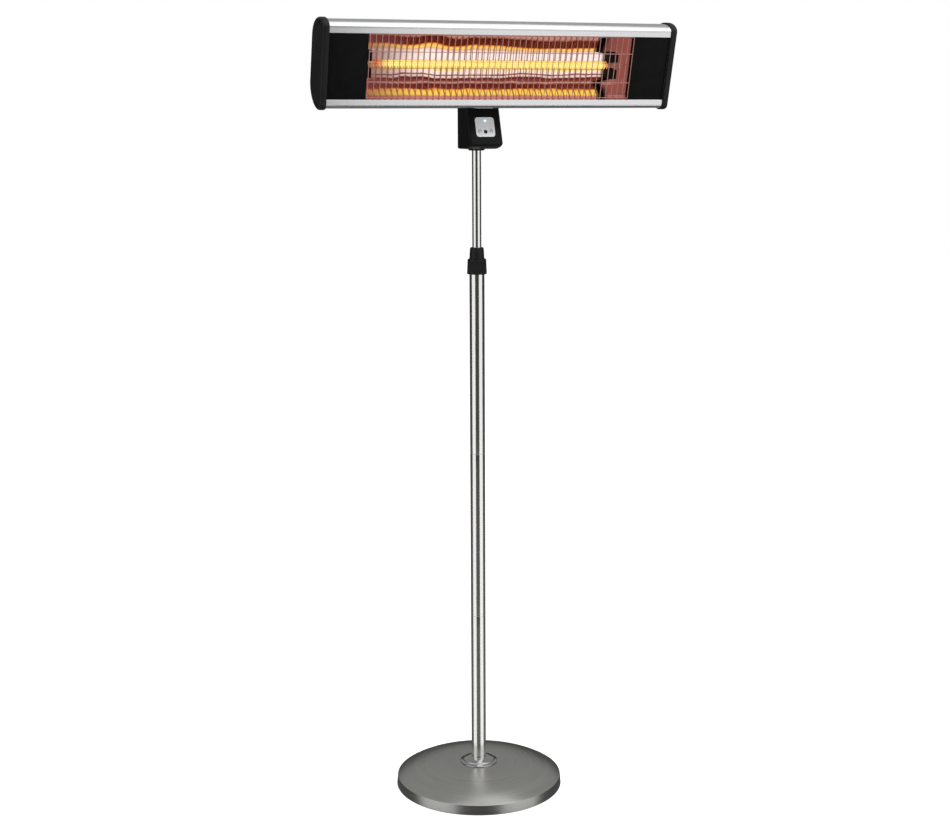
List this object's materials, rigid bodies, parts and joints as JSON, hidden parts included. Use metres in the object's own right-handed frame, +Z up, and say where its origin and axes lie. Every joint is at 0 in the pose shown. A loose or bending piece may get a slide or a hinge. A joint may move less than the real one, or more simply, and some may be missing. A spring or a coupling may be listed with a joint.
{
  "type": "outdoor heater",
  "caption": "Free-standing electric infrared patio heater: a long tilting lamp head on a control box, telescopic pole and round weighted base.",
  "frame": {"origin": "centre of the base's underside, on the floor, on the pole's axis", "axes": "+Z up along the pole; X along the head's length; -Y is the side the lamp faces"},
  "size_m": [0.738, 0.365, 1.6482],
  "materials": {
    "rubber": "matt moulded",
    "bottom_plate": "black powder coat",
    "cast_iron": "rough cast",
    "zinc_steel": "zinc plated",
    "brushed_stainless": "fine brushed",
    "bright_flange": "polished",
    "black_plastic": "satin moulded",
    "natural_nylon": "satin",
    "black_screws": "blackened",
    "silver_plate": "satin",
    "lit_lens": "clear, lit from behind",
    "black_button": "semi-gloss",
    "switch_parts": "moulded",
    "circuit_green": "solder mask",
    "black_lead": "smooth sheath",
    "black_steel": "powder coat",
    "anodised_aluminium": "satin anodised",
    "gasket_rubber": "silicone",
    "black_panel": "fine textured coat",
    "reflector_metal": "polished",
    "quartz": "clear quartz",
    "hot_filament": "glowing",
    "lamp_ceramic": "heat-darkened",
    "lead_sleeve": "woven glass sleeve",
    "guard_wire": "bright wire"
  },
  "bodies": {
    "stand": {"foot_ring": "rubber", "base_plate": "bottom_plate", "base_weight": "cast_iron", "base_spacer": "zinc_steel", "base_cover": "brushed_stainless", "tie_bolt": "zinc_steel", "flange_cover": "bright_flange", "foot_insert": "zinc_steel", "pole_lower": "brushed_stainless", "pole_middle": "brushed_stainless", "pole_upper": "brushed_stainless", "pole_couplers": "zinc_steel", "collet_housing": "black_plastic", "collet": "natural_nylon"},
    "nut": {"collar_nut": "black_plastic"},
    "guide": {"guide_bush": "natural_nylon"},
    "mast": {"inner_tube": "brushed_stainless", "tube_end_cap": "black_plastic", "retaining_ring": "zinc_steel", "tube_top_insert": "zinc_steel", "box_front_shell": "black_plastic", "box_rear_shell": "black_plastic", "box_screws": "black_screws", "control_plate": "silver_plate", "led_lens": "lit_lens", "touch_switch": "switch_parts", "circuit_board": "circuit_green", "power_relay": "switch_parts", "infrared_receiver": "switch_parts", "tip_switch": "switch_parts", "cable_gland": "black_plastic", "lead_gland": "black_plastic", "head_lead": "black_lead", "yoke": "black_steel", "yoke_bolt": "zinc_steel", "pivot_bolt": "zinc_steel", "pivot_washers": "natural_nylon"},
    "button": {"power_button": "black_button"},
    "knob": {"tilt_knob": "black_plastic"},
    "head": {"head_bracket": "black_steel", "bracket_bolts": "zinc_steel", "pivot_spacer": "zinc_steel", "head_gland": "black_plastic", "housing": "anodised_aluminium", "end_cap_left": "black_plastic", "end_cap_right": "black_plastic", "cap_gaskets": "gasket_rubber", "cap_screws": "black_screws", "side_panel_left": "black_panel", "side_panel_right": "black_panel", "reflector": "reflector_metal", "reflector_ends": "reflector_metal", "lamp_tube": "quartz", "lamp_filament": "hot_filament", "lamp_holders": "lamp_ceramic", "lamp_leads": "lead_sleeve", "wire_guard": "guard_wire", "heat_shield": "zinc_steel", "thermal_cutout": "lamp_ceramic", "terminal_block": "natural_nylon"}
  },
  "joints": [
    {"name": "telescope", "type": "slide", "parent": "stand", "child": "guide", "axis": [0, 0, 1], "range_m": [-0.195, 0.1]},
    {"name": "mast_swivel", "type": "hinge", "parent": "guide", "child": "mast", "pos_m": [0, 0, 1.004], "axis": [0, 0, 1], "range_deg": [-180, 180]},
    {"name": "collar_twist", "type": "hinge", "parent": "stand", "child": "nut", "pos_m": [0, 0, 1.1515], "axis": [0, 0, 1], "range_deg": [0, 270]},
    {"name": "head_tilt", "type": "hinge", "parent": "mast", "child": "head", "pos_m": [0, -0.046, 1.545], "axis": [1, 0, 0], "range_deg": [-15, 20], "deforming": ["head_lead"]},
    {"name": "button_press", "type": "slide", "parent": "mast", "child": "button", "axis": [0, 0.9487, -0.3162], "range_m": [0, 0.0012], "stiffness_N_per_m": 800},
    {"name": "knob_turn", "type": "hinge", "parent": "mast", "child": "knob", "pos_m": [0.037, -0.046, 1.545], "axis": [1, 0, 0], "range_deg": [0, 180]}
  ]
}
